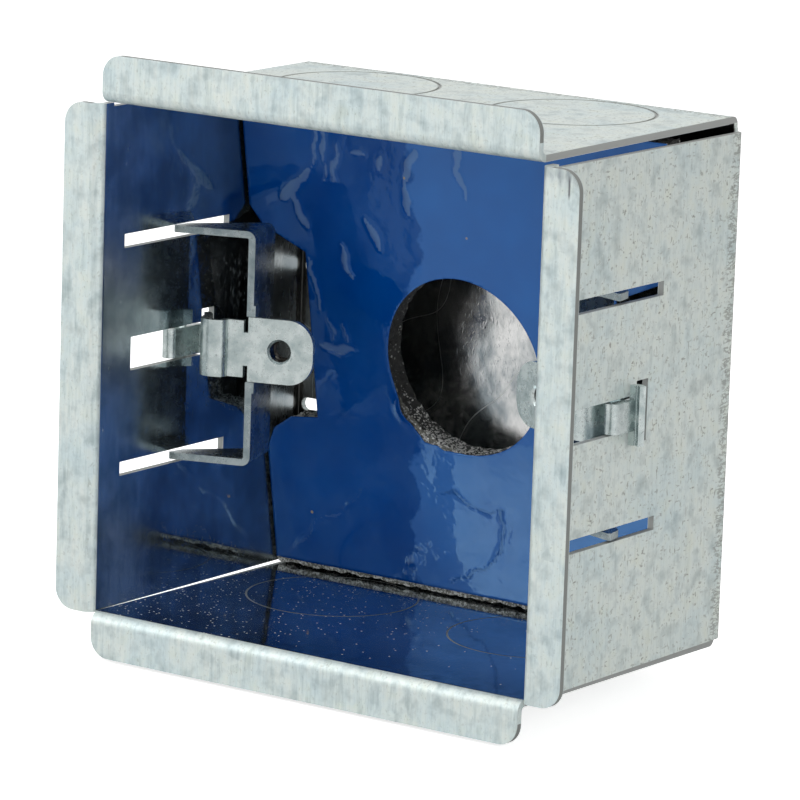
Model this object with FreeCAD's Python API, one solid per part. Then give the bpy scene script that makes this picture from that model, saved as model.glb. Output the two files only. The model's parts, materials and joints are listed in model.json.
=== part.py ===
import FreeCAD, Part
import math
import os

# Dry-lining back box for one wiring accessory, as pressed from one sheet of
# galvanised steel.  It carries a leaning fire liner pad inside, and a sliding
# clip at each side.  The clip is a bent bracket that holds a rolled lug strip.
# Millimetres.  Z is up and the opening faces -Y.  The origin is the middle of
# the opening, in the plane of the front of the flanges.

# Folded box
BOX_W = 75.0            # outside width over the side walls
BOX_H = 75.2            # outside height over the top and bottom walls, at the back
BOX_D = 49.2            # flange front to outside of the back
BOX_RISE = 0.2          # middle of that height above the middle of the clips
LEAN_TOP, LEAN_BOTTOM = 0.35, 0.5           # these walls come in this much in front
SHEET = 1.0             # sheet thickness
BEND_IN = 0.6           # inside radius of the bends to the flanges
BACK_BEND_IN = 0.2      # inside radius of the bends at the back
SIDE_WALL_GAP = 0.45    # the side flanges end this far short of the top and bottom
TOP_WALL_GAP = 0.2      # the top and bottom walls end this far short of the sides
RELIEF_FROM = 3.0       # behind this depth the side walls are cut shorter
RELIEF_TOP, RELIEF_BOTTOM = 0.5, 0.15
FLANGE_SIDE = 5.3       # side flanges, beyond the wall
FLANGE_TOP = 5.75       # top flange, beyond the wall
FLANGE_BOTTOM = 5.4     # bottom flange, beyond the wall
FLANGE_CORNER = 3.0     # radius of the flange ends

# Slots in each side wall.  Fronts are measured back from the flange front and
# rear ends back from the clip.
NARROW_FRONT, NARROW_BEHIND = 6.0, 7.66
ARM_PLAY_IN, ARM_PLAY_OUT = 0.65, 0.35      # room for the arms of the bracket
MIDDLE_FRONT, MIDDLE_BEHIND = 7.9, 4.66
MIDDLE_TALL = 4.8
TONGUE_PLAY = 0.3       # room above and below the tongue in the middle slot
TEE_LONG = 2.9
TEE_TALL = 8.6

# Knock-outs: two in the top, two in the bottom and one in the back
TOP_RING_R, TOP_RING_X, TOP_RING_Y = 11.7, 18.2, 35.0
LOW_RING_R, LOW_RING_X, LOW_RING_Y = 12.4, 17.6, 32.0
BACK_RING_R = 12.1
SCORE_W, SCORE_D = 0.3, 0.15

# Fixing slots in the back, at each side behind the notches of the pad
BACK_SLOT_TALL = 2.0
BACK_SLOT_INNER, BACK_SLOT_OUTER = 28.0, 35.9
BACK_SLOT_HEIGHTS = (-12.95, 7.75)

# Liner pad, a square sheet with its top edge leaning forward
PAD_SIDE_GAP = 0.4      # pad to the side walls
PAD_SEAT = 0.3          # pad to the bottom wall
PAD_BACK_GAP = 1.3      # lower rear edge of the pad to the back
PAD_TOP_GAP = 1.1       # film to the top wall
PAD_LEAN = 9.6          # degrees
PAD_THICK = 3.2
FILM_THICK = 0.25
FILM_SHORT = 0.9        # the film ends this far above the lower edge of the pad
PAD_HOLE_R = 13.1
PAD_HOLE_DROP = 1.05    # hole centre below mid-height
NOTCH_DEEP, NOTCH_HALF, NOTCH_MOUTH = 9.5, 12.6, 18.6

# Clip, drawn square in its own axes: u runs out to the wall, v runs back
CLIP_YAW = 18.0         # degrees that the stored clip is turned in its slots
CLIP_X = 25.96          # where its own axes start in the box
CLIP_TO_PAD = 14.95     # from there back to the film at mid-height
BRACKET_SHEET = 1.0
BRACKET_HALF = 16.95    # half of the height over the two arms
WEB_DEEP = 8.7
ARM_POKE = 0.15         # the points of the arms stand this far out of the wall
ARM_BEND_IN = 0.3
SEAT_DEEP = 2.0         # the seat of the strip, across the web
LIP_TALL, LIP_DEEP, LIP_PROUD = 1.6, 1.3, 0.3
STRIP = 0.9             # lug strip thickness
FIT = 0.08              # clearance where the strip sits in the bracket
LUG_TIP, LUG_ROOT = -9.0, 0.72
LUG_HALF = 4.65
LUG_CORNER = 3.7
HOLE_U = -3.95
HOLE_R = 1.45           # inside a tapped M3.5 thread
HOLE_EASE = 0.35        # chamfer at the front of the hole
COLLAR_R, COLLAR_LONG = 2.45, 1.5
NECK_HALF, FLAT_HALF = 2.4, 4.1
FLAT_FROM, FLAT_TO = 1.4, 3.6
ROLL_FROM, ROLL_TO = 4.2, 7.5               # the roll, between its two turns
ROLL_PROUD, ROLL_BACK = 0.95, 1.6           # its front and its rear centre lines
ROLL_RADII = (0.55, 0.8, 1.5)
KNEE_RUN, KNEE_R = 1.3, 0.9                 # from the roll back to the knee
WIDE_LEG = 1.5                              # wide part of the leg after the knee
LEG_BEHIND, LEG_R = 2.66, 0.6               # where the leg turns into the slot
TONGUE_AHEAD = 5.14                         # front of the tongue, ahead of the clip
SLOT_SHIFT = 0.05       # the tongue lies this far inside the middle of the wall
OUTER_GAP = 0.25        # from the wall to the strip outside it
CLAW_BEHIND, CLAW_RUN, CLAW_LONG = 0.86, 1.3, 1.9
CLAW_LIFT, CLAW_ANGLE, CLAW_R = 0.12, 37.0, 0.56
CLAW_HALF = 4.15


def vec(x, y, z):
    return FreeCAD.Vector(x, y, z)


def box(x0, x1, y0, y1, z0, z1):
    return Part.makeBox(x1 - x0, y1 - y0, z1 - z0, vec(x0, y0, z0))


def rounded_path(points, radii):
    # Line and arc pieces of a centre line that is rounded at its corners.
    pieces = []
    here = points[0]
    for i in range(1, len(points) - 1):
        a, b, c = points[i - 1], points[i], points[i + 1]
        d0 = (b - a).normalize()
        d1 = (c - b).normalize()
        turn = math.acos(max(-1.0, min(1.0, d0.dot(d1))))
        run = radii[i - 1] * math.tan(turn / 2)
        start = b - d0 * run
        end = b + d1 * run
        side = 1.0 if d0.cross(d1).z > 0 else -1.0
        centre = start + vec(-d0.y, d0.x, 0) * (side * radii[i - 1])
        pieces.append(("line", here, start))
        pieces.append(("arc", start, end, centre, side))
        here = end
    pieces.append(("line", here, points[-1]))
    return pieces


def sheet_along(pieces, thick, low, high):
    # A strip of sheet that follows the centre line, standing from low to high.
    solids = []
    for piece in pieces:
        if piece[0] == "line":
            a, b = piece[1], piece[2]
            if (b - a).Length < 1e-6:
                continue
            d = (b - a).normalize()
            n = vec(-d.y, d.x, 0) * (thick / 2)
            wire = Part.makePolygon([a + n, b + n, b - n, a - n, a + n])
        else:
            start, end, centre, side = piece[1:]
            r0 = (start - centre).normalize()
            r1 = (end - centre).normalize()
            mid = (r0 + r1).normalize()
            radius = (start - centre).Length
            big, small = radius + thick / 2, radius - thick / 2
            outer = Part.Arc(centre + r0 * big, centre + mid * big, centre + r1 * big)
            inner = Part.Arc(centre + r0 * small, centre + mid * small, centre + r1 * small)
            edges = [
                outer.toShape(),
                Part.makeLine(centre + r1 * big, centre + r1 * small),
                inner.toShape(),
                Part.makeLine(centre + r0 * small, centre + r0 * big),
            ]
            wire = Part.Wire(Part.__sortEdges__(edges))
        face = Part.Face(wire)
        face.translate(vec(0, 0, low))
        solids.append(face.extrude(vec(0, 0, high - low)))
    body = solids[0]
    for other in solids[1:]:
        body = body.fuse(other)
    return body.removeSplitter()


def mirrored(shape):
    return shape.mirror(vec(0, 0, 0), vec(1, 0, 0))


def export(shape, name):
    shape = shape.removeSplitter()
    if shape.ShapeType == "Compound" and len(shape.Solids) == 1:
        shape = shape.Solids[0]
    shape.exportStep(os.path.join("parts", name + ".step"))
    print(name, "valid", shape.isValid(), "solids", len(shape.Solids), "volume", round(shape.Volume, 1))


# Depths that the pieces share: the pad stands at the bottom of the box and
# leans forward, and the clip keeps its distance to it.
half_w = BOX_W / 2
top_rear, bottom_rear = BOX_H / 2 + BOX_RISE, BOX_H / 2 - BOX_RISE
top_front, bottom_front = top_rear - LEAN_TOP, bottom_rear - LEAN_BOTTOM
lean_sin = math.sin(math.radians(PAD_LEAN))
lean_cos = math.cos(math.radians(PAD_LEAN))
pad_low = (-bottom_rear + SHEET + PAD_SEAT - FILM_THICK * lean_sin) / lean_cos
pad_high = (top_rear - SHEET - PAD_TOP_GAP) / lean_cos
pad_y = BOX_D - SHEET - PAD_BACK_GAP - (FILM_THICK + PAD_THICK) * lean_cos + pad_low * lean_sin
clip_y = pad_y - CLIP_TO_PAD


# Folded box: one channel gives the side walls and their flanges, the other
# channel gives the top and the bottom, and both share the back.
def channel(low, high, end_half):
    # Each side is the wall's outside in front and at the back, and its flange.
    front = SHEET / 2
    back = BOX_D - SHEET / 2
    points = [
        vec(-low[0] - low[2], front, 0),
        vec(-low[0] + SHEET / 2, front, 0),
        vec(-low[1] + SHEET / 2, back, 0),
        vec(high[1] - SHEET / 2, back, 0),
        vec(high[0] - SHEET / 2, front, 0),
        vec(high[0] + high[2], front, 0),
    ]
    fore, rear = BEND_IN + SHEET / 2, BACK_BEND_IN + SHEET / 2
    body = sheet_along(rounded_path(points, [fore, rear, rear, fore]), SHEET, -end_half, end_half)
    # Round the four outer corners of the two flanges.
    r = FLANGE_CORNER
    for side, edge in ((-1, low[0] + low[2]), (1, high[0] + high[2])):
        for end in (-1, 1):
            x0, x1 = sorted((side * (edge - r), side * (edge + 1)))
            z0, z1 = sorted((end * (end_half - r), end * (end_half + 1)))
            corner = box(x0, x1, -1, SHEET + 0.2, z0, z1)
            pin = Part.makeCylinder(r, 4, vec(side * (edge - r), -2, end * (end_half - r)), vec(0, 1, 0))
            body = body.cut(corner.cut(pin))
    return body


side_end = BOX_H / 2 - SHEET - SIDE_WALL_GAP
top_end = half_w - SHEET - TOP_WALL_GAP
wall = (half_w, half_w, FLANGE_SIDE)
box_body = channel(wall, wall, side_end)

# Behind the flanges the side walls are a little shorter.
for side in (-1, 1):
    x0, x1 = sorted((side * (top_end + TOP_WALL_GAP / 2), side * (half_w + 1)))
    box_body = box_body.cut(box(x0, x1, RELIEF_FROM, BOX_D + 1, side_end - RELIEF_TOP, side_end + 1))
    box_body = box_body.cut(box(x0, x1, RELIEF_FROM, BOX_D + 1, -side_end - 1, -side_end + RELIEF_BOTTOM))
bottom_wall = (bottom_front, bottom_rear, FLANGE_BOTTOM)
top_wall = (top_front, top_rear, FLANGE_TOP)
top_bottom = channel(bottom_wall, top_wall, top_end)
top_bottom.rotate(vec(0, 0, 0), vec(0, 1, 0), -90)
box_body = box_body.fuse(top_bottom)

# Two narrow slots and one middle slot with a tee end, cut through both sides.
reach = half_w + 1
narrow_low = BRACKET_HALF - BRACKET_SHEET - ARM_PLAY_IN
narrow_high = BRACKET_HALF + ARM_PLAY_OUT
narrow_rear = clip_y + NARROW_BEHIND
middle_rear = clip_y + MIDDLE_BEHIND
slots = [
    box(-reach, reach, NARROW_FRONT, narrow_rear, narrow_low, narrow_high),
    box(-reach, reach, NARROW_FRONT, narrow_rear, -narrow_high, -narrow_low),
    box(-reach, reach, MIDDLE_FRONT, middle_rear, -MIDDLE_TALL / 2, MIDDLE_TALL / 2),
    box(-reach, reach, middle_rear - TEE_LONG, middle_rear, -TEE_TALL / 2, TEE_TALL / 2),
]
for slot in slots:
    box_body = box_body.cut(slot)

# Fixing slots with round inner ends in the back.
for side in (-1, 1):
    for height in BACK_SLOT_HEIGHTS:
        r = BACK_SLOT_TALL / 2
        x0, x1 = sorted((side * (BACK_SLOT_INNER + r), side * (BACK_SLOT_OUTER - r)))
        hole = box(x0, x1, BOX_D - 3, BOX_D + 1, height - r, height + r)
        for x in (x0, x1):
            hole = hole.fuse(Part.makeCylinder(r, 4, vec(x, BOX_D - 3, height), vec(0, 1, 0)))
        box_body = box_body.cut(hole)


# Scored rings of the knock-outs, on both faces of the top and the bottom and
# on the outside of the back.
def score_ring(centre, axis, radius):
    ring = Part.makeCylinder(radius + SCORE_W / 2, 2 * SCORE_D, centre - axis * SCORE_D, axis)
    return ring.cut(Part.makeCylinder(radius - SCORE_W / 2, 2 * SCORE_D, centre - axis * SCORE_D, axis))


back_axis = vec(0, 1, 0)
rings = (
    (1, top_front, LEAN_TOP, TOP_RING_R, TOP_RING_X, TOP_RING_Y),
    (-1, bottom_front, LEAN_BOTTOM, LOW_RING_R, LOW_RING_X, LOW_RING_Y),
)
for side, height, lean, radius, across, depth in rings:
    rise = lean / (BOX_D - SHEET)
    out = vec(0, -rise, side).normalize()
    for x in (-across, across):
        centre = vec(x, depth, side * (height + rise * (depth - SHEET / 2)))
        box_body = box_body.cut(score_ring(centre, out, radius))
        box_body = box_body.cut(score_ring(centre - out * SHEET, out, radius))
box_body = box_body.cut(score_ring(vec(0, BOX_D, 0), back_axis, BACK_RING_R))
export(box_body, "box_body")


# Liner pad and its film: the same outline, with a round hole in the middle and
# a notch with a flared mouth at each side, drawn flat and then leant forward.
def pad_outline(thick, y_front, low):
    edge = half_w - SHEET - PAD_SIDE_GAP
    inner = edge - NOTCH_DEEP
    slab = box(-edge, edge, y_front, y_front + thick, low, pad_high)
    slab = slab.cut(Part.makeCylinder(PAD_HOLE_R, thick + 2, vec(0, y_front - 1, -PAD_HOLE_DROP), back_axis))
    points = [
        (edge + 1, NOTCH_MOUTH + 1.0),
        (edge, NOTCH_MOUTH),
        (edge - 2.2, NOTCH_MOUTH - 2.8),
        (inner, NOTCH_HALF),
        (inner, -NOTCH_HALF),
        (edge - 4.6, -NOTCH_HALF - 0.6),
        (edge - 1.4, -NOTCH_HALF - 2.8),
        (edge, -NOTCH_MOUTH),
        (edge + 1, -NOTCH_MOUTH),
    ]
    for side in (-1, 1):
        wire = [vec(side * x, y_front - 1, z) for x, z in points]
        notch = Part.Face(Part.makePolygon(wire + [wire[0]])).extrude(vec(0, thick + 2, 0))
        slab = slab.cut(notch)
    slab.rotate(vec(0, 0, 0), vec(1, 0, 0), PAD_LEAN)
    slab.translate(vec(0, pad_y, 0))
    return slab


export(pad_outline(FILM_THICK, 0.0, pad_low + FILM_SHORT), "liner_film")
export(pad_outline(PAD_THICK, FILM_THICK, pad_low), "liner_pad")


# Clip bracket: a web with an arm folded out at each end.  Each arm narrows to
# the point that rides in a narrow slot of the wall.
def clip_bracket():
    arm_long = (half_w + ARM_POKE - CLIP_X) / math.cos(yaw)
    mid = BRACKET_HALF - BRACKET_SHEET / 2
    web_mid = BRACKET_SHEET / 2
    points = [
        vec(arm_long + 2, mid, 0),
        vec(web_mid, mid, 0),
        vec(web_mid, -mid, 0),
        vec(arm_long + 2, -mid, 0),
    ]
    radius = ARM_BEND_IN + BRACKET_SHEET / 2
    body = sheet_along(rounded_path(points, [radius] * 2), BRACKET_SHEET, -WEB_DEEP, 0)
    body.rotate(vec(0, 0, 0), vec(1, 0, 0), 90)
    # Plan of an arm: square front edge, tapered rear edge, point at the wall.
    plan = [
        (-1.0, 0.0),
        (arm_long - 0.25, 0.0),
        (arm_long, 0.3),
        (arm_long - 1.25, 2.6),
        (1.5, WEB_DEEP - 0.55),
        (0.5, WEB_DEEP),
        (-1.0, WEB_DEEP),
    ]
    wire = [vec(u, v, -BRACKET_HALF - 1) for u, v in plan]
    trim = Part.Face(Part.makePolygon(wire + [wire[0]])).extrude(vec(0, 0, 2 * BRACKET_HALF + 2))
    body = body.common(trim)
    # Seat for the lug strip in the front edge of the web.
    seat = LUG_HALF + FIT
    body = body.cut(box(-1, SEAT_DEEP, -1, STRIP + FIT, -seat, seat))
    # Swaged lips above and below the seat keep the strip in it.
    for side in (-1, 1):
        z0, z1 = sorted((side * seat, side * (seat + LIP_TALL)))
        body = body.fuse(box(-LIP_PROUD, 0.1, 0, LIP_DEEP, z0, z1))
    return body


# Lug strip: the tapped lug, the neck and the flat are one plane; then the
# strip rolls forward and runs back to the wall, turns forward in the middle
# slot, folds outside and ends in the tall claw.
def clip_strip():
    lug = box(LUG_TIP, LUG_ROOT, 0, STRIP, -LUG_HALF, LUG_HALF)
    for side in (-1, 1):
        centre = vec(LUG_TIP + LUG_CORNER, -1, side * (LUG_HALF - LUG_CORNER))
        z0, z1 = sorted((side * (LUG_HALF - LUG_CORNER), side * (LUG_HALF + 1)))
        corner = box(LUG_TIP - 1, LUG_TIP + LUG_CORNER, -1, STRIP + 1, z0, z1)
        lug = lug.cut(corner.cut(Part.makeCylinder(LUG_CORNER, STRIP + 2, centre, back_axis)))
    neck = box(LUG_ROOT, FLAT_FROM, 0, STRIP, -NECK_HALF, NECK_HALF)
    flat = box(FLAT_FROM, FLAT_TO, 0, STRIP, -FLAT_HALF, FLAT_HALF)
    body = lug.fuse(neck).fuse(flat)
    # Extruded collar behind the lug gives the thread its length.
    body = body.fuse(Part.makeCylinder(COLLAR_R, STRIP + COLLAR_LONG, vec(HOLE_U, 0, 0), back_axis))
    body = body.cut(Part.makeCylinder(HOLE_R, STRIP + COLLAR_LONG + 2, vec(HOLE_U, -1, 0), back_axis))
    body = body.cut(Part.makeCone(HOLE_R + HOLE_EASE, HOLE_R, HOLE_EASE, vec(HOLE_U, 0, 0), back_axis))
    # Wide rolled part.
    roll = [
        vec(FLAT_TO, STRIP / 2, 0),
        vec(ROLL_FROM, STRIP / 2, 0),
        vec(ROLL_FROM, -ROLL_PROUD, 0),
        vec(ROLL_TO, -ROLL_PROUD, 0),
        vec(ROLL_TO, ROLL_BACK, 0),
    ]
    return body.fuse(sheet_along(rounded_path(roll, ROLL_RADII), STRIP, -FLAT_HALF, FLAT_HALF))


def to_wall(shape):
    # From the axes of the clip to the stored place at the right-hand wall.
    shape.rotate(vec(0, 0, 0), vec(0, 0, 1), -CLIP_YAW)
    shape.translate(vec(CLIP_X, clip_y, 0))
    return shape


yaw = math.radians(CLIP_YAW)
bracket_right = to_wall(clip_bracket())
strip_right = to_wall(clip_strip())

# From the roll the strip runs back and out, in the axes of the box.
heading = vec(math.sin(yaw), math.cos(yaw), 0)
across = vec(math.cos(yaw), -math.sin(yaw), 0)
roll_end = vec(CLIP_X, clip_y, 0) + across * ROLL_TO + heading * ROLL_BACK
in_slot = half_w - SHEET / 2 - SLOT_SHIFT
outside = half_w + OUTER_GAP + STRIP / 2
knee = roll_end + heading * KNEE_RUN
leg_end = vec(in_slot, clip_y + LEG_BEHIND, 0)
narrow_from = knee + (leg_end - knee).normalize() * WIDE_LEG
wide_leg = rounded_path([roll_end, knee, narrow_from], [KNEE_R])
strip_right = strip_right.fuse(sheet_along(wide_leg, STRIP, -FLAT_HALF, FLAT_HALF))

# The tongue turns forward in the slot and folds back along the outside.
tongue_half = MIDDLE_TALL / 2 - TONGUE_PLAY
nose = clip_y - TONGUE_AHEAD + STRIP / 2
nose_r = (outside - in_slot) / 2 - 0.001
claw_fold = vec(outside + CLAW_LIFT, clip_y + CLAW_BEHIND, 0)
fold_from = claw_fold - vec(0, CLAW_RUN, 0)
tongue = rounded_path(
    [narrow_from, leg_end, vec(in_slot, nose, 0), vec(outside, nose, 0), fold_from],
    [LEG_R, nose_r, nose_r],
)
strip_right = strip_right.fuse(sheet_along(tongue, STRIP, -tongue_half, tongue_half))

# The claw is the wide end of the strip, bent out and forward.
claw_angle = math.radians(CLAW_ANGLE)
claw_end = claw_fold + vec(math.cos(claw_angle), -math.sin(claw_angle), 0) * CLAW_LONG
claw = rounded_path([fold_from, claw_fold, claw_end], [CLAW_R])
strip_right = strip_right.fuse(sheet_along(claw, STRIP, -CLAW_HALF, CLAW_HALF))

export(bracket_right, "clip_bracket_right")
export(mirrored(bracket_right), "clip_bracket_left")
export(strip_right, "lug_strip_right")
export(mirrored(strip_right), "lug_strip_left")
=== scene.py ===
import json
import math

import bmesh
import bpy
import numpy as np
from mathutils import Matrix, Vector, geometry, noise


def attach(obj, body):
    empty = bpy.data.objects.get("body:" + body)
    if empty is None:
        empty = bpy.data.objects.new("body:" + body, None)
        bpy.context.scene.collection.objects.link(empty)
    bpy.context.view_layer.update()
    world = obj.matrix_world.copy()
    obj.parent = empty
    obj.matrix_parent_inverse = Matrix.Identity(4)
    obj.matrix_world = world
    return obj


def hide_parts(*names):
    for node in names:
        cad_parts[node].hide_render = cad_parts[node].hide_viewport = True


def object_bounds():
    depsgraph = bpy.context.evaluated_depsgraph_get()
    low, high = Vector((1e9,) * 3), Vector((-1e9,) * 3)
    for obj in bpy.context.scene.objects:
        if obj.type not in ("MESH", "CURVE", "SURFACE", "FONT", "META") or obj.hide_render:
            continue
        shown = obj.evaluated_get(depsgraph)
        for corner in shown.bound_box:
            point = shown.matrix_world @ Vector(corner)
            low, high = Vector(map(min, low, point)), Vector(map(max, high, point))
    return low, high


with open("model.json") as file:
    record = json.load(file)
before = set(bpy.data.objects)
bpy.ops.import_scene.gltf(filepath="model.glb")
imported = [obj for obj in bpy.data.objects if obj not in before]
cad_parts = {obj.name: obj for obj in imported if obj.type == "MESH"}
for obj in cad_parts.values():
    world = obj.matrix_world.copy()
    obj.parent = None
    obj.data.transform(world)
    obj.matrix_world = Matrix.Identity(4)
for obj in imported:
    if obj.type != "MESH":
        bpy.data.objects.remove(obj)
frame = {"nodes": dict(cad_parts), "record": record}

cad_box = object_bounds()

# Camera: the photograph's view, from the front right and a little above, with
# a long lens and a slight lean of the camera.
camera_spot = (0.404843, -0.556339, 0.139995)
right = Vector((0.81502, 0.57850, 0.03295)).normalized()
forward = Vector((-0.56186, 0.80292, -0.19910)).normalized()
turn = Matrix((right, right.cross(forward), -forward)).transposed().to_4x4()
camera = bpy.data.objects.new("camera", bpy.data.cameras.new("camera"))
bpy.context.scene.collection.objects.link(camera)
camera.matrix_world = Matrix.Translation(camera_spot) @ turn
camera.data.sensor_width = 36.0
camera.data.lens = 233.19
camera.data.clip_start, camera.data.clip_end = 0.02, 20.0
bpy.context.scene.camera = camera
bpy.context.scene.view_settings.view_transform = "Standard"


# Studio: a large soft lamp overhead, one at each side of the camera, and a
# white room that metal and film can mirror.
def add(tree, kind, **values):
    # One node of a tree.  A value is a socket to link, a number or a setting.
    made = tree.nodes.new(kind)
    for key, value in values.items():
        is_socket = isinstance(value, bpy.types.NodeSocket)
        if hasattr(made, key) and not is_socket and key not in made.inputs:
            setattr(made, key, value)
            continue
        number = key[2:] if key[:2] == "in" else ""
        put = made.inputs[int(number)] if number.isdigit() else made.inputs[key.replace("_", " ")]
        if is_socket:
            tree.links.new(value, put)
        else:
            put.default_value = value
    return made


# How white the room looks in a mirror, and how much it lights.
room_mirrored, room_light = 0.85, 0.40
world = bpy.data.worlds.new("studio")
bpy.context.scene.world = world
world.use_nodes = True
tree = world.node_tree
tree.nodes.clear()
ray = add(tree, "ShaderNodeLightPath").outputs
level = room_light
for operation, a, b in (
    ("MULTIPLY", ray["Is Glossy Ray"], room_mirrored),
    ("MAXIMUM", ray["Is Camera Ray"], ray["Is Transmission Ray"]),
):
    shown = add(tree, "ShaderNodeMath", operation=operation, in0=a, in1=b).outputs[0]
    level = add(tree, "ShaderNodeMath", operation="MAXIMUM", in0=shown, in1=level).outputs[0]
room = add(tree, "ShaderNodeBackground", Color=(1, 1, 1, 1), Strength=level)
add(tree, "ShaderNodeOutputWorld", Surface=room.outputs[0])

lamps_face = Vector((0, 0.02, 0))
for name, spot, size, power in (
    ("lamp_over", (0.05, -0.25, 0.75), 0.7, 3.6),
    ("lamp_left", (-0.65, -0.55, 0.35), 0.6, 2.6),
    ("lamp_right", (0.75, -0.35, 0.30), 0.5, 2.4),
):
    lamp = bpy.data.objects.new(name, bpy.data.lights.new(name, "AREA"))
    lamp.data.shape = "DISK"
    lamp.data.size = size
    lamp.data.energy = power
    lamp.location = spot
    lamp.rotation_mode = "QUATERNION"
    lamp.rotation_quaternion = (lamps_face - Vector(spot)).to_track_quat("-Z", "Y")
    bpy.context.scene.collection.objects.link(lamp)

# Floor: a plain white table top, half a millimetre under the bottom flange.  The
# camera sees it glow, so that only the shadow of the box is grey.
floor_half, floor_gap, floor_glow = 6.0, 0.0005, 0.75
floor = bpy.data.objects.new("floor", bpy.data.meshes.new("floor"))
bm = bmesh.new()
bmesh.ops.create_grid(bm, x_segments=1, y_segments=1, size=floor_half)
bm.to_mesh(floor.data)
bm.free()
floor.location = (0, 0, cad_box[0].z - floor_gap)
bpy.context.scene.collection.objects.link(floor)
table_top = bpy.data.materials.new("table_top")
table_top.use_nodes = True
tree = table_top.node_tree
tree.nodes.clear()
ray = add(tree, "ShaderNodeLightPath").outputs
paint = add(tree, "ShaderNodeBsdfDiffuse", Color=(0.8, 0.8, 0.8, 1)).outputs[0]
glow = add(tree, "ShaderNodeEmission", Strength=floor_glow).outputs[0]
glowing = add(tree, "ShaderNodeAddShader", in0=paint, in1=glow).outputs[0]
top = add(tree, "ShaderNodeMixShader", in0=ray["Is Camera Ray"], in1=paint, in2=glowing).outputs[0]
add(tree, "ShaderNodeOutputMaterial", Surface=top)
floor.data.materials.append(table_top)


# Folded box: one sheet of galvanised steel, pierced, scored and bent.  The outside
# is dull and mottled.  The inside is bright from the mill and mirrors the liner.
class Finish:
    # A material with its shader and the piece's own coordinates in mm, and the
    # steps that its pattern is made in.
    def __init__(self, name):
        self.material = bpy.data.materials.new(name)
        self.material.use_nodes = True
        self.tree = self.material.node_tree
        self.tree.nodes.clear()
        self.shader = self.node("ShaderNodeBsdfPrincipled")
        self.node("ShaderNodeOutputMaterial", Surface=self.shader.outputs[0])
        metres = self.node("ShaderNodeTexCoord").outputs["Object"]
        self.mm = self.scaled(metres, (1000, 1000, 1000))

    def node(self, kind, **values):
        return add(self.tree, kind, **values)

    def scaled(self, place, by):
        return self.node("ShaderNodeVectorMath", operation="MULTIPLY", in0=place, in1=by).outputs[0]

    def axes(self):
        return self.node("ShaderNodeSeparateXYZ", Vector=self.mm).outputs

    def calc(self, operation, a, b=0.0, c=0.0):
        return self.node("ShaderNodeMath", operation=operation, in0=a, in1=b, in2=c).outputs[0]

    def plus(self, start, *shares):
        # Start, and so much of each value on top of it.
        for value, share in shares:
            start = self.calc("MULTIPLY_ADD", value, share, start)
        return start

    def shared(self, mask, *others):
        # Where all the masks are.
        for other in others:
            mask = self.calc("MULTIPLY", mask, other)
        return mask

    def joined(self, mask, *others):
        # Where any of the masks is.
        for other in others:
            mask = self.calc("MAXIMUM", mask, other)
        return mask

    def over(self, value, level):
        return self.calc("GREATER_THAN", value, level)

    def under(self, value, level):
        return self.calc("LESS_THAN", value, level)

    def fade(self, value, start, end, first=0.0, last=1.0):
        # From first to last while the value goes from start to end.
        ends = {"From_Min": start, "From_Max": end, "To_Min": first, "To_Max": last}
        return self.node("ShaderNodeMapRange", Value=value, **ends).outputs[0]

    def within(self, value, low, high, soft=0.02):
        # 1 between low and high, with soft ends.
        ends = (low - soft, low + soft), (high + soft, high - soft)
        return self.shared(*(self.fade(value, *end) for end in ends))

    def away(self, a, b):
        # How far off a spot lies, from how far it is along two axes.
        squares = (self.calc("POWER", side, 2.0) for side in (a, b))
        return self.calc("SQRT", self.calc("ADD", *squares))

    def grain(self, scale, detail=3.0, rough=0.6, stretch=(1, 1, 1), place=None):
        # Noise at so many cells per mm, drawn out along an axis by its stretch.
        place = self.scaled(place or self.mm, stretch)
        made = self.node("ShaderNodeTexNoise", Vector=place, Scale=scale, Detail=detail, Roughness=rough)
        return made.outputs["Fac"]

    def strokes(self, turn, scale, long):
        # Fine marks drawn out in one direction, turned so that every face is crossed.
        way = self.node("ShaderNodeVectorRotate", Vector=self.mm, Axis=(0.6, 0.5, 0.62), Angle=turn)
        return self.grain(scale, 2.0, 0.55, (1, 1, long), way.outputs[0])

    def flecks(self, soft, *noises):
        # Short marks at the peaks of each noise, past its own level.
        return self.joined(*(self.fade(peaks, at, at + soft) for peaks, at in noises))

    def cells(self, scale):
        # Cells round scattered spots: how far off the spot is, and the cell's number.
        made = self.node("ShaderNodeTexVoronoi", Vector=self.mm, Scale=scale, Randomness=1.0)
        number = self.node("ShaderNodeSeparateColor", Color=made.outputs["Color"])
        return made.outputs["Distance"], number.outputs[0]

    def ramp(self, fac, *stops):
        made = self.node("ShaderNodeValToRGB", Fac=fac)
        bar = made.color_ramp.elements
        while len(bar) < len(stops):
            bar.new(0.5)
        for mark, (at, colour) in zip(bar, stops):
            mark.position = at
            mark.color = (*colour, 1)
        return made.outputs["Color"]

    def blend(self, mask, a, b, share=1.0):
        # Colour a, with a share of colour b where the mask is.
        if share < 1.0:
            mask = self.calc("MULTIPLY", mask, share)
        a, b = (c if isinstance(c, bpy.types.NodeSocket) else (*c, 1) for c in (a, b))
        return self.node("ShaderNodeMix", data_type="RGBA", in0=mask, in6=a, in7=b).outputs[2]

    def times(self, colour, *others):
        for other in others:
            made = self.node("ShaderNodeMix", data_type="RGBA", blend_type="MULTIPLY", in0=1.0)
            self.tree.links.new(colour, made.inputs[6])
            self.tree.links.new(other, made.inputs[7])
            colour = made.outputs[2]
        return colour

    def mixed(self, mask, a, b):
        return self.node("ShaderNodeMix", data_type="FLOAT", in0=mask, in2=a, in3=b).outputs[0]

    def dented(self, strength, deep, height):
        return self.node("ShaderNodeBump", Strength=strength, Distance=deep, Height=height).outputs[0]

    def coat(self, **parts):
        for key, out in parts.items():
            self.tree.links.new(out, self.shader.inputs[key.replace("_", " ")])

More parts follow.
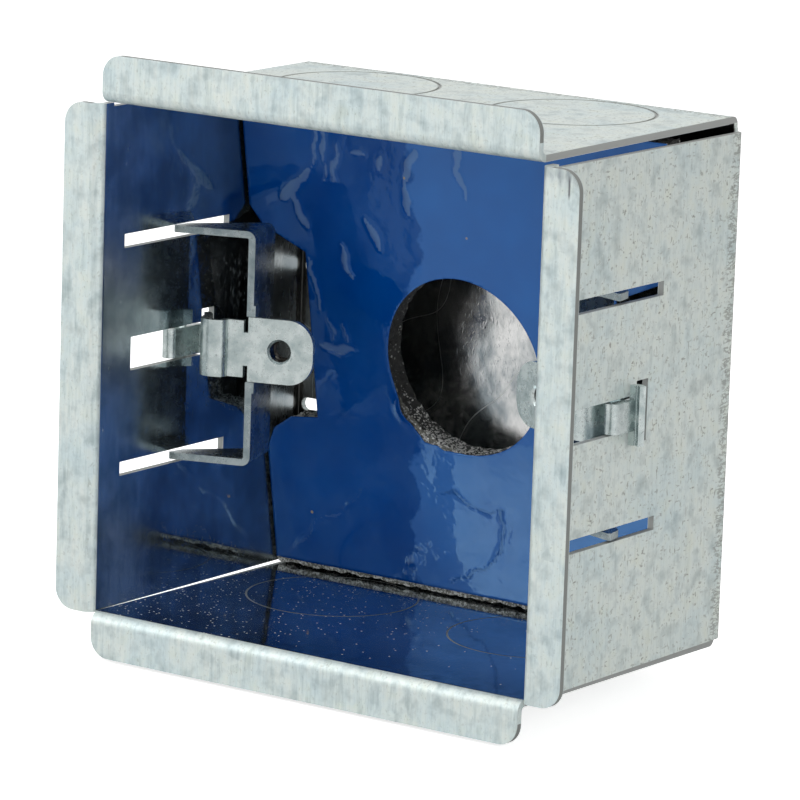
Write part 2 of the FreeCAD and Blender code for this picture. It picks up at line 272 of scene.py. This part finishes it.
    def put_on(self, solid):
        frame["nodes"][solid].data.materials.clear()
        frame["nodes"][solid].data.materials.append(self.material)


zinc = Finish("galvanised_sheet")
x, y, z = zinc.axes()
across = zinc.calc("ABSOLUTE", x)

# Where the two faces of the side, top and bottom walls lie, to a tenth of a mm.  The
# top and bottom walls lean in towards the front.
side_in, side_out = 36.56, 37.42
top_in, top_out, top_lean = 36.50, 37.40, 0.0073
low_in, low_out, low_lean = 35.95, 36.85, 0.0104
over_top = zinc.plus(z, (y, -top_lean))
under_low = zinc.plus(0.0, (zinc.plus(z, (y, low_lean)), -1.0))
behind_flange, in_back = 1.3, 48.3
inside = zinc.shared(
    zinc.under(across, side_in),
    zinc.under(over_top, top_in),
    zinc.under(under_low, low_in),
    zinc.within(y, behind_flange, in_back),
)
near_side, near_low, near_back = 36.3, 35.8, 47.9
sides, bottom = zinc.over(across, near_side), zinc.over(under_low, near_low)
flange, back = zinc.under(y, behind_flange), zinc.over(y, near_back)

# Sheared edges of the sheet: the rims of the flanges and, past the bend of the
# flanges, the edges of the walls.
rim_x, rim_z, past_bend = 38.2, 39.1, 1.7
outer = zinc.joined(zinc.over(across, rim_x), zinc.over(zinc.calc("ABSOLUTE", z), rim_z))
rim = zinc.shared(zinc.within(y, 0.10, 0.92), outer)
cut = zinc.joined(
    zinc.within(across, side_in, side_out),
    zinc.within(over_top, top_in, top_out),
    zinc.within(under_low, low_in, low_out),
)
cut = zinc.joined(zinc.shared(cut, zinc.over(y, past_bend)), rim)

# Outside: clouded zinc with short dark marks and fine brush lines.
cloud = zinc.grain(0.10, 4.0, 0.62)
patch = zinc.grain(0.32)
dull = zinc.ramp(
    cloud,
    (0.28, (0.55, 0.64, 0.65)),
    (0.44, (0.61, 0.68, 0.67)),
    (0.58, (0.65, 0.70, 0.67)),
    (0.75, (0.59, 0.66, 0.66)),
)
tone = zinc.ramp(patch, (0.28, (0.70, 0.73, 0.74)), (0.50, (1, 1, 1)), (0.72, (1.0, 0.98, 0.93)))
hair = zinc.grain(3.0, 2.0, 0.55, (1, 1, 0.05))
brushed = zinc.ramp(hair, (0.36, (0.92, 0.93, 0.93)), (0.50, (1, 1, 1)))
marks = zinc.shared(
    zinc.flecks(
        0.08,
        (zinc.grain(2.5, 2.0, 0.55, (1.0, 1.0, 0.42)), 0.610),
        (zinc.grain(2.2, 2.0, 0.55, (0.9, 0.44, 1.0)), 0.620),
    ),
    zinc.fade(patch, 0.35, 0.62, 0.25, 1.0),
    zinc.plus(1.0, (flange, -0.55)),
)
outside = zinc.blend(marks, zinc.times(dull, tone, brushed), (0.20, 0.20, 0.18), 0.70)

# The flanges keep a bluish spangle, drawn out upright.
spangle = zinc.plus(zinc.grain(0.9, 3.0, 0.65, (1, 1, 0.18)), (zinc.cells(0.55)[1], 0.12))
bluish = zinc.ramp(spangle, (0.38, (0.74, 0.79, 0.82)), (0.55, (0.95, 0.98, 1.0)), (0.70, (1, 1, 1)))
outside = zinc.blend(flange, outside, zinc.times(outside, bluish), 0.9)

# The upper end of the right flange is grimy, with one deep scratch.
right_flange = zinc.shared(flange, zinc.over(x, 37.0))
grimy = zinc.ramp(spangle, (0.35, (0.7, 0.7, 0.7)), (0.65, (0.15, 0.15, 0.15)))
grime = zinc.shared(right_flange, zinc.within(z, 34.4, 37.0, 0.8), grimy)
gouge = zinc.shared(right_flange, zinc.within(x, 41.05, 41.35, 0.10), zinc.within(z, 32.5, 35.1, 0.4))
outside = zinc.blend(grime, outside, (0.24, 0.26, 0.28))
outside = zinc.blend(gouge, outside, (0.10, 0.10, 0.11), 0.9)

# The zinc is crazed where the back is folded.
ragged = zinc.plus(y, (zinc.grain(0.9, 2.0, 0.6, (1, 0.2, 1)), -3.6))
flakes = zinc.within(zinc.grain(1.7, 2.0, 0.6, (1, 0.35, 1.2)), 0.50, 0.62)
craze = zinc.shared(zinc.fade(ragged, 44.2, 44.7), flakes, zinc.under(y, 48.6))
outside = zinc.blend(craze, outside, (0.22, 0.23, 0.21), 0.62)

# The scored rings of the two knock-outs in the top are painted dark: painted shade in the gap of the score.
ring_x, ring_y, ring_near, ring_far = 18.2, 35.0, 11.40, 12.00
from_ring = zinc.away(zinc.calc("ADD", across, -ring_x), zinc.calc("ADD", y, -ring_y))
scored = zinc.shared(zinc.within(from_ring, ring_near, ring_far, 0.10), zinc.over(over_top, 36.9))
outside = zinc.blend(scored, outside, (0.17, 0.18, 0.16), 0.65)

# Inside: mill-bright zinc, streaked, with stains on the side walls.  The bottom is
# painted dark at its front as a painted reflection, and the back is clouded, with painted
# shade, nearly black, behind the notches of the pad.
streak = zinc.grain(0.7, 3.0, 0.6, (1, 1, 0.25))
mill = zinc.times(
    zinc.ramp(cloud, (0.32, (0.55, 0.61, 0.63)), (0.65, (0.76, 0.80, 0.81))),
    zinc.ramp(streak, (0.35, (0.84, 0.85, 0.85)), (0.60, (1, 1, 1))),
)
stain = zinc.shared(zinc.fade(zinc.grain(0.11), 0.42, 0.62, 0.05, 0.60), sides)
mill = zinc.blend(stain, mill, (0.12, 0.19, 0.24))
streaky = zinc.ramp(streak, (0.35, (0.35, 0.35, 0.35)), (0.65, (1, 1, 1)))
# Painted reflection: the front of the bottom wall is painted dark and streaky.
dark_front_reflection = zinc.shared(zinc.fade(y, 15.0, 3.0, 0.0, 0.9), bottom, streaky)
mill = zinc.blend(dark_front_reflection, mill, (0.13, 0.18, 0.19))
clouded = zinc.ramp(
    zinc.grain(0.13, 4.0, 0.65, (1, 1, 0.6)), (0.42, (0.30, 0.34, 0.36)), (0.60, (0.80, 0.80, 0.79))
)
mill = zinc.blend(back, mill, clouded)
# Painted shade: the back behind the notches of the pad is made nearly black.
notch_shade = zinc.shared(zinc.over(across, 25.0), zinc.over(y, 47.0))
mill = zinc.blend(notch_shade, mill, (0.075, 0.07, 0.06), 0.85)

# Long hair scratches on all but the side walls, and dust on the bottom.
scratch = zinc.joined(*(
    zinc.within(zinc.grain(size, 0.5, 0.4, (1, 1, 0.6)), at, at + 0.0010, 0.0008)
    for size, at in ((0.050, 0.50), (0.062, 0.56), (0.075, 0.46))
))
scratch = zinc.shared(scratch, inside, zinc.under(across, near_side))
mill = zinc.blend(scratch, mill, (0.80, 0.80, 0.78), 0.45)
from_speck, speck = zinc.cells(1.5)
dust = zinc.shared(
    zinc.fade(from_speck, 0.21, 0.13),
    zinc.over(patch, 0.44),
    zinc.over(speck, zinc.fade(x, -36.0, 12.0, 0.45, 0.97)),
    bottom,
    inside,
)
mill = zinc.blend(dust, mill, (0.72, 0.71, 0.67))

# The inside is a mirror, dulled by smears on the back, by scratches and dust, and on
# the side walls near the back and where hands hold the front.
smear = zinc.shared(zinc.strokes(0.8, 0.9, 0.10), back)
rough_in = zinc.plus(
    0.0,
    (streak, 0.10),
    (smear, 0.24),
    (scratch, 0.25),
    (zinc.fade(y, 33.0, 42.0, 0.0, 0.22), sides),
    (zinc.fade(y, 17.0, 7.0, 0.0, 0.20), sides),
)
rough = zinc.mixed(inside, zinc.plus(0.34, (patch, 0.30)), zinc.joined(rough_in, dust))
relief = zinc.plus(zinc.mixed(inside, patch, 0.0), (marks, -0.8), (smear, 0.8), (stain, 0.4))
colour = zinc.blend(inside, outside, mill)
colour = zinc.blend(cut, colour, (0.36, 0.37, 0.36))
# The rims of the flanges are painted darker than the other cut edges: painted shade on the sheet's edge.
zinc.coat(
    Base_Color=zinc.blend(rim, colour, (0.22, 0.23, 0.22)),
    Roughness=zinc.mixed(cut, rough, 0.6),
    Metallic=zinc.shared(zinc.mixed(inside, 0.55, 0.985), zinc.plus(1.0, (dust, -1.0))),
    Normal=zinc.dented(0.12, 0.0001, relief),
)
zinc.put_on("box_body")

# Liner pad: a fire-liner sheet of black granules with graphite in it, cut with a
# knife, so its edges crumble.  It stands in the box and leans forward.
pad_lean, pad_face = math.radians(9.6), 37.385
front = Vector((0, -math.cos(pad_lean), -math.sin(pad_lean)))
liner_side, liner_high, pad_low = 36.1, 36.2, -36.655
hole_r, hole_drop, hole_points = 13.1, -1.05, 160
notch_top = ((36.1, 18.6), (33.9, 15.8), (26.6, 12.6))
notch_low = ((26.6, -12.6), (31.5, -13.2), (34.7, -15.4), (36.1, -18.6))
edge_step = 0.5


def liner_edge(low):
    # The outline with its two notches, in steps of about half a mm.
    notch = notch_top + notch_low
    corners = [(-liner_side, low), (liner_side, low)] + list(reversed(notch))
    corners += [(liner_side, liner_high), (-liner_side, liner_high)] + [(-u, v) for u, v in notch]
    loop = []
    for a, b in zip(corners, corners[1:] + corners[:1]):
        a, b = Vector(a), Vector(b)
        steps = max(1, round((b - a).length / edge_step))
        loop += [a.lerp(b, i / steps) for i in range(steps)]
    return loop


def hole_radius(turn, torn):
    # The hole is torn wider at its lower left, about this turn in degrees.
    torn_at, torn_wide = 238, 22
    near = math.exp(-(((math.degrees(turn) % 360 - torn_at) / torn_wide) ** 2))
    return hole_r + torn * near * (1.2 + 0.6 * noise.noise(Vector((turn * 9, 0.3, 0.8))))


def in_sheet(spot, torn):
    # Whether a spot of the flat sheet lies outside its hole, or just on its edge.
    far_off, on_edge = 20, 0.9995
    at = spot - Vector((0, hole_drop))
    turn = math.atan2(at.y, at.x) % (2 * math.pi)
    return at.length > far_off or at.length > hole_radius(turn, torn) * on_edge


def flat_facets(low, torn, step):
    # The sheet laid flat: its points, its facets, its outline and its hole.
    outer, inner = liner_edge(low), []
    for i in range(hole_points):
        turn = 2 * math.pi * i / hole_points
        r = hole_radius(turn, torn)
        inner.append(Vector((r * math.cos(turn), hole_drop + r * math.sin(turn))))
    points = outer + inner
    rings = [list(range(len(outer))), list(range(len(outer), len(points)))]
    sides = [(ring[i], ring[(i + 1) % len(ring)]) for ring in rings for i in range(len(ring))]
    wide, tall = int(2 * liner_side / step), int((liner_high - low) / step)
    for i in range(1, wide):
        for j in range(1, tall):
            shift = Vector((noise.noise(Vector((i, j, 0.5))), noise.noise(Vector((i, j, 9.5)))))
            spot = Vector((-liner_side + 2 * liner_side * i / wide, low + (liner_high - low) * j / tall))
            points.append(spot + shift * 0.2 * step)
    spots, _, facets, was, *_ = geometry.delaunay_2d_cdt(points, sides, [], 1, 0.0001)
    kept = []
    for facet in facets:
        if in_sheet(sum((spots[i] for i in facet), Vector((0, 0))) / len(facet), torn):
            kept.append(tuple(facet))
    now = {old: new for new, olds in enumerate(was) for old in olds}
    used = sorted({i for facet in kept for i in facet})
    number = {old: new for new, old in enumerate(used)}
    kept = [tuple(number[i] for i in facet) for facet in kept]
    return [spots[i] for i in used], kept, [[number[now[i]] for i in ring] for ring in rings]


def leant(spot, deep):
    # A place on the flat sheet, so deep behind its face, as it stands in the box.
    at = Vector((spot.x, pad_face - spot.y * math.sin(pad_lean), spot.y * math.cos(pad_lean)))
    return (at - front * deep) / 1000


def made_piece(name, verts, faces, finish):
    # A piece from its points and faces, which are turned outward.
    made = bpy.data.objects.new(name, bpy.data.meshes.new(name))
    made.data.from_pydata(verts, [], faces)
    bm = bmesh.new()
    bm.from_mesh(made.data)
    bmesh.ops.recalc_face_normals(bm, faces=bm.faces)
    bm.to_mesh(made.data)
    bm.free()
    made.data.materials.append(finish.material)
    bpy.context.scene.collection.objects.link(made)
    return made


def pad_granules(name, finish):
    near, far, rows = 0.27, 3.43, 7
    spots, facets, rings = flat_facets(pad_low, 0.0, 1.3)
    count = len(spots)
    verts, inward = [None] * (2 * count), {}
    for ring, sense in zip(rings, (1, -1)):
        for i, here in enumerate(ring):
            run = spots[ring[(i + 1) % len(ring)]] - spots[ring[i - 1]]
            inward[here] = Vector((-run.y, run.x)).normalized() * sense

    def eaten(i, deep):
        # A point of the cut edge, where granules have fallen out.
        at = Vector((spots[i].x, spots[i].y, deep))
        bite = 0.04 + 0.45 * max(0.0, noise.noise(at * 0.8) + 0.15) + 0.45 * max(0.0, noise.noise(at * 1.9))
        return leant(spots[i] + inward[i] * bite, deep)

    for i, spot in enumerate(spots):
        for row, deep in ((0, near), (1, far)):
            worn = 0.05 * noise.noise(Vector((spot.x, spot.y, deep)))
            verts[row * count + i] = eaten(i, deep) if i in inward else leant(spot, deep + worn)
    faces = list(facets) + [tuple(count + i for i in reversed(facet)) for facet in facets]
    for ring in rings:
        levels = [ring]
        for row in range(1, rows):
            levels.append(list(range(len(verts), len(verts) + len(ring))))
            verts += [eaten(i, near + (far - near) * row / rows) for i in ring]
        levels.append([count + i for i in ring])
        for upper, lower in zip(levels, levels[1:]):
            for i in range(len(ring)):
                j = (i + 1) % len(ring)
                faces.append((upper[i], upper[j], lower[j], lower[i]))
    return made_piece(name, verts, faces, finish)


# Black grit, paler on faces that turn to the front: the bared grit, with painted light
# on the faces that the lamps reach.  Graphite flakes painted near white as painted
# glints lie thickest at the bottom of the hole.
graphite = Finish("granular_graphite")
grit = graphite.grain(2.4, 5.0, 0.75)
facing = graphite.node("ShaderNodeNewGeometry").outputs["Normal"]
facing = graphite.node("ShaderNodeVectorMath", operation="DOT_PRODUCT", in0=facing, in1=front)
# Painted light: faces turned to the front get the paler grit.
bare_and_lit = graphite.fade(facing.outputs["Value"], 0.55, 0.85)
plain = graphite.fade(graphite.axes()[2], -6.0, -13.0, 0.94, 0.50)
# Painted glints: flakes painted near white, denser lower down.
glint = graphite.fade(graphite.calc("SUBTRACT", graphite.cells(3.8)[1], plain), 0.0, 0.12)
soot = graphite.ramp(grit, (0.35, (0.012, 0.012, 0.012)), (0.60, (0.055, 0.053, 0.050)))
lit_bare_grit = graphite.ramp(grit, (0.35, (0.06, 0.058, 0.050)), (0.62, (0.30, 0.29, 0.25)))
graphite.coat(
    Base_Color=graphite.blend(glint, graphite.blend(bare_and_lit, soot, lit_bare_grit), (0.95, 0.94, 0.90)),
    Metallic=graphite.calc("MULTIPLY", glint, 0.3),
    Roughness=graphite.plus(0.55, (glint, -0.3)),
    Normal=graphite.dented(1.0, 0.0005, grit),
)
pad = pad_granules("pad_granules", graphite)
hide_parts("liner_pad")
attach(pad, "box")

# Liner film: a thin glossy blue plastic film stuck on the face of the pad.  It is
# wrinkled where it came loose, and torn back at the lower left of the hole.
film_low, film_step, film_over, film_thick = -35.755, 0.42, 0.12, 0.00010

# Each wrinkle from end to end, with its height and half its width, in mm.
wrinkles = (
    ((-29.9, 20.3), (-26.9, 23.4), 0.24, 0.9),
    ((-26.9, 23.4), (-24.3, 25.5), 0.20, 0.6),
    ((-28.0, 21.7), (-26.0, 16.0), 0.20, 0.6),
    ((-23.0, 33.0), (-24.1, 25.9), 0.18, 0.35),
    ((-22.2, 33.0), (-21.7, 24.3), 0.18, 0.40),
    ((-19.6, 29.5), (-20.4, 23.7), 0.16, 0.40),
    ((-17.3, 29.3), (-14.9, 28.4), 0.16, 0.60),
    ((-12.3, 28.7), (-12.5, 26.5), 0.16, 0.55),
    ((-15.2, 19.0), (-13.0, 15.0), 0.22, 0.75),
    ((-20.3, 14.8), (-18.4, 9.9), 0.20, 0.50),
    ((-26.2, 11.9), (-24.7, 4.1), 0.20, 0.35),
    ((-6.3, 29.8), (-8.3, 25.0), 0.26, 0.60),
    ((-8.3, 25.0), (-8.3, 20.8), 0.26, 0.50),
    ((1.6, 31.8), (0.9, 28.5), 0.22, 0.55),
    ((0.9, 28.5), (2.3, 23.9), 0.22, 0.45),
    ((-13.2, -34.8), (-12.2, -33.6), 0.14, 0.45),
    ((-11.9, -32.6), (-10.9, -31.6), 0.14, 0.50),
    ((-9.9, -30.6), (-9.5, -29.4), 0.12, 0.40),
    ((-8.7, -29.2), (-8.2, -28.4), 0.12, 0.35),
    ((-32.4, -34.2), (-27.5, -28.7), 0.10, 0.30),
    ((-27.5, -28.7), (-22.8, -26.7), 0.10, 0.30),
    ((-22.8, -26.7), (-18.8, -21.8), 0.08, 0.30),
    ((-25.2, -1.4), (-18.4, -0.9), 0.16, 0.50),
    ((-23.0, 3.6), (-22.6, -0.2), 0.14, 0.35),
    ((-20.9, 2.3), (-20.2, 0.0), 0.14, 0.35),
)

# One long fold below the hole, from corner to corner; the film is painted dark in it, as painted shade.
fold = ((-5.5, -20.7), (-2.0, -20.6), (1.3, -22.8), (4.8, -21.5))
fold += ((5.4, -26.3), (3.4, -29.7), (-1.2, -32.8), (-4.8, -34.5))
fold_high, fold_half = 0.10, 0.30


def ridge(place, a, b, rise, half, steep):
    # How high a ridge from a to b raises each place.  A steep one narrows at its ends.
    a, run = np.array(a), np.array(b) - np.array(a)
    held = np.clip(((place - a) @ run) / (run @ run), 0, 1)
    away = np.linalg.norm(place - a - held[:, None] * run, axis=1)
    wide = half * (0.45 + 0.8 * np.sin(math.pi * held)) if steep else half
    return rise * np.exp(-((away / wide) ** (4 if steep else 2)))


def lifts(points):
    # Height of the film over the pad in mm, and how much of it is wrinkle: two waves,
    # the wrinkles, whose ends wander a little, and the curl where the hole is torn.
    aside, along = (
        [noise.noise(Vector((p.x * 0.45, p.y * 0.45, level))) for p in points] for level in (4.2, 9.6)
    )
    place = np.array([tuple(p) for p in points]) + 0.9 * np.array([aside, along]).T
    raised = [ridge(place, *wrinkle, True) for wrinkle in wrinkles]
    folded = [ridge(place, a, b, fold_high, fold_half, False) for a, b in zip(fold, fold[1:])]
    crest, crease = np.max(raised + folded, axis=0), np.max(folded, axis=0)
    high = []
    for p, c in zip(points, crest):
        wave = 0.20 * noise.noise(Vector((p.x / 16, p.y / 20, 3.1)))
        wave += 0.08 * noise.noise(Vector((p.x / 5, p.y / 8, 7.7)))
        arm = p - Vector((0, hole_drop))
        turn = math.degrees(math.atan2(arm.y, arm.x)) % 360
        curl = 0.9 * math.exp(-(((turn - 218) / 9) ** 2))
        curl *= math.exp(-max(0.0, arm.length - hole_r - 0.5) / 0.9)
        high.append(0.10 + wave + c + curl)
    return high, crest - 2 * crease


def film_sheet(name, finish):
    spots, facets, _ = flat_facets(film_low, 1.0, film_step)
    high, crest = lifts(spots)
    verts = [leant(spot, film_over - rise) for spot, rise in zip(spots, high)]
    made = made_piece(name, verts, facets, finish)
    if sum(face.normal.dot(front) for face in made.data.polygons) < 0:
        made.data.flip_normals()
    made.data.shade_smooth()
    # Loose is 1 on a wrinkle that is 0.2 mm high, and below 0 in the fold.
    loose = made.data.attributes.new("loose", "FLOAT", "POINT")
    loose.data.foreach_set("value", crest / 0.2)
    body = made.modifiers.new("body", "SOLIDIFY")
    body.thickness = film_thick
    body.offset = -1
    return made


# Deep blue, with a painted reflection: darker at the left and paler at the right.
# Paler on the wrinkles, painted shade in the fold, and a few grains of sand on it.
blue = Finish("blue_gloss")
u, _, v = blue.axes()
loose = blue.node("ShaderNodeAttribute", attribute_name="loose").outputs["Fac"]
painted_reflection_side = blue.fade(blue.plus(u, (blue.grain(0.13, 4.0, 0.55), 14.0), (v, -0.06)), -1.9, -1.1)
colour = blue.ramp(blue.grain(0.06, 3.0, 0.5), (0.35, (0.0, 0.085, 0.40)), (0.65, (0.0, 0.120, 0.50)))
colour = blue.times(colour, blue.blend(painted_reflection_side, (0.50, 0.57, 0.68), (1, 1, 1)))
# Painted reflection: the right side is paler with a light tint, the left side darker.
for mask, share, tint in (
    (painted_reflection_side, 0.10, (0.32, 0.42, 0.52)),
    (blue.fade(loose, 0.35, 0.75, 0.0, 0.42), 1.0, (0.20, 0.31, 0.50)),
    # Painted shade in the fold.
    (blue.fade(loose, -0.12, -0.4, 0.0, 0.8), 1.0, (0.0, 0.055, 0.27)),
    (blue.fade(blue.cells(0.14)[0], 0.045, 0.030), 1.0, (0.42, 0.32, 0.18)),
):
    colour = blue.blend(mask, colour, tint, share)
blue.coat(
    Base_Color=colour,
    Roughness=blue.plus(0.01, (blue.grain(0.25), 0.07)),
    Normal=blue.dented(0.25, 0.0002, blue.grain(0.5, 2.0, 0.4)),
)
blue.shader.inputs["Specular Tint"].default_value = (0.45, 0.80, 1.0, 1)
film = film_sheet("blue_film", blue)
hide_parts("liner_film")
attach(film, "box")

# Clips: bent steel brackets with a lug strip staked in each, zinc-plated thin and
# bright.  The brackets are darker, and the tapped holes are coloured dark.
mounts = {mount["name"]: mount for mount in frame["record"]["mounts"]}
hole_x, hole_y, _ = (1000 * c for c in mounts["lug_thread_right"]["pos_m"])
lean_y, lean_x, _ = (abs(c) for c in mounts["lug_thread_right"]["axis"])
dark_bore_radius = 1.50
for part, name, dark, bright in (
    ("lug_strip", "lug_plate", (0.38, 0.45, 0.45), (0.63, 0.69, 0.68)),
    ("clip_bracket", "bracket_plate", (0.17, 0.22, 0.24), (0.36, 0.41, 0.42)),
):
    plate = Finish(name)
    x, y, z = plate.axes()
    cloud = plate.grain(0.45, 4.0)
    patina = plate.ramp(cloud, (0.34, dark), (0.66, bright))
    marks = plate.flecks(0.05, (plate.strokes(0.6, 2.8, 0.5), 0.655), (plate.strokes(1.9, 2.4, 0.4), 0.665))
    patina = plate.blend(marks, patina, (0.18, 0.19, 0.18), 0.45)
    middle = lean_y * hole_y - lean_x * hole_x
    from_hole = plate.away(plate.plus(middle, (plate.calc("ABSOLUTE", x), lean_x), (y, -lean_y)), z)
    # The bore of the tapped hole is coloured dark.
    patina = plate.blend(plate.under(from_hole, dark_bore_radius), patina, (0.055, 0.050, 0.042))
    plate.coat(
        Base_Color=patina,
        Roughness=plate.plus(0.12, (cloud, 0.28)),
        Normal=plate.dented(0.25, 0.0001, plate.grain(2.0, 4.0)),
    )
    plate.shader.inputs["Metallic"].default_value = 0.92
    plate.put_on(part + "_right")
    plate.put_on(part + "_left")


# Thread of each lug: M3.5, tapped through the lug and its collar, so that one ridge
# winds down the bore.  It is coloured dark.
def thread(name, mount, body, finish):
    pitch, crest_r, root_r, long, sunk = 0.6, 1.28, 1.52, 2.0, 0.05
    section = ((root_r, 0.0), (crest_r, 0.24), (crest_r, 0.32), (root_r, 0.56))
    axis = Vector(mount["axis"]).normalized()
    side = axis.orthogonal().normalized()
    other = axis.cross(side)
    turns = (long - pitch) / pitch
    steps = int(40 * turns)
    verts, faces = [], []
    for i in range(steps + 1):
        turn = 2 * math.pi * turns * i / steps
        out = side * math.cos(turn) + other * math.sin(turn)
        deep = sunk + pitch * turns * i / steps
        for radius, ahead in section:
            verts.append(Vector(mount["pos_m"]) + (out * radius - axis * (deep + ahead)) / 1000)
    for i in range(steps):
        for j in range(4):
            a, b = 4 * i + j, 4 * i + (j + 1) % 4
            faces.append((a, b, b + 4, a + 4))
    faces += [(3, 2, 1, 0), tuple(4 * steps + j for j in range(4))]
    made = made_piece(name, verts, faces, finish)
    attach(made, body)


dark_thread_finish = Finish("dark_thread")
thread_mottle = dark_thread_finish.grain(1.5)
dark_thread_finish.coat(
    Base_Color=dark_thread_finish.ramp(thread_mottle, (0.35, (0.07, 0.06, 0.05)), (0.65, (0.30, 0.28, 0.25))),
    Roughness=dark_thread_finish.plus(0.2, (thread_mottle, 0.2)),
)
dark_thread_finish.shader.inputs["Metallic"].default_value = 0.9
thread("thread_right", mounts["lug_thread_right"], "right_clip", dark_thread_finish)
thread("thread_left", mounts["lug_thread_left"], "left_clip", dark_thread_finish)
